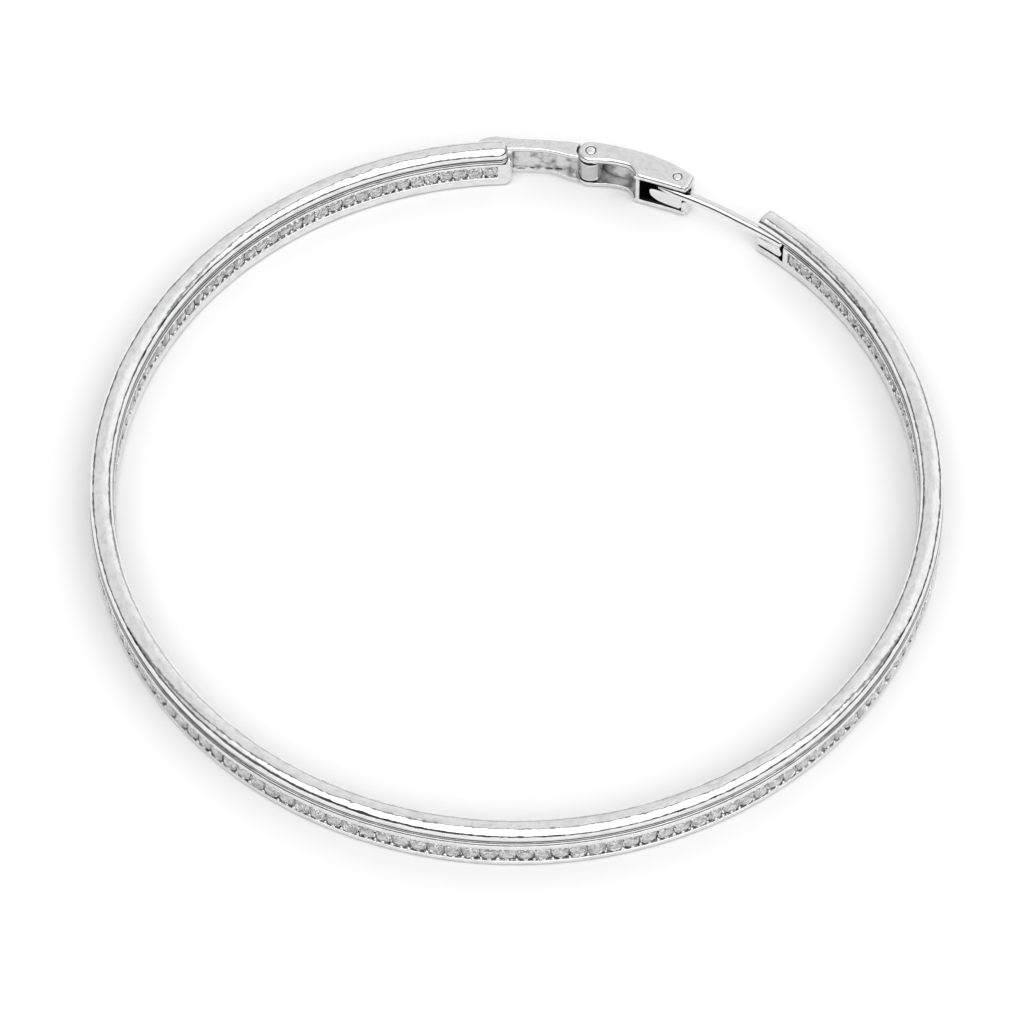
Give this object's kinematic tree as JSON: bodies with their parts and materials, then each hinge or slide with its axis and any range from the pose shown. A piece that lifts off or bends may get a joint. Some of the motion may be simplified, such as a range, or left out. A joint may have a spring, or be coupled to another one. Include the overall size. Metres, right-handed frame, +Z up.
{
  "type": "hoop earring",
  "caption": "Large hoop earring lying on its side, with small cut stones set in channels inside and out, a hinged link and a curved ear post that closes into the hoop's open end.",
  "frame": {"origin": "centre of the hoop, on the surface that it lies on", "axes": "+Z up through the hoop's opening, +Y towards the hinge end of the clasp"},
  "size_m": [0.055, 0.0553, 0.0034],
  "materials": {
    "polished_metal": "polished",
    "cast_metal": "satin",
    "drawn_metal": "polished",
    "clear_stone": "cut and polished"
  },
  "bodies": {
    "ring": {"hoop": "polished_metal", "outer_stones": "clear_stone", "inner_stones": "clear_stone"},
    "link": {"hinge_link": "cast_metal", "knuckle_pin": "drawn_metal", "post_pin": "drawn_metal"},
    "post": {"ear_post": "drawn_metal"}
  },
  "joints": [
    {"name": "knuckle", "type": "hinge", "parent": "ring", "child": "link", "pos_m": [0.00499, 0.02649, 0.0016], "axis": [0, 0, -1], "range_deg": [0, 45]},
    {"name": "post_hinge", "type": "hinge", "parent": "link", "child": "post", "pos_m": [0.01076, 0.02426, 0.0016], "axis": [0, 0, -1], "range_deg": [0, 38]}
  ]
}
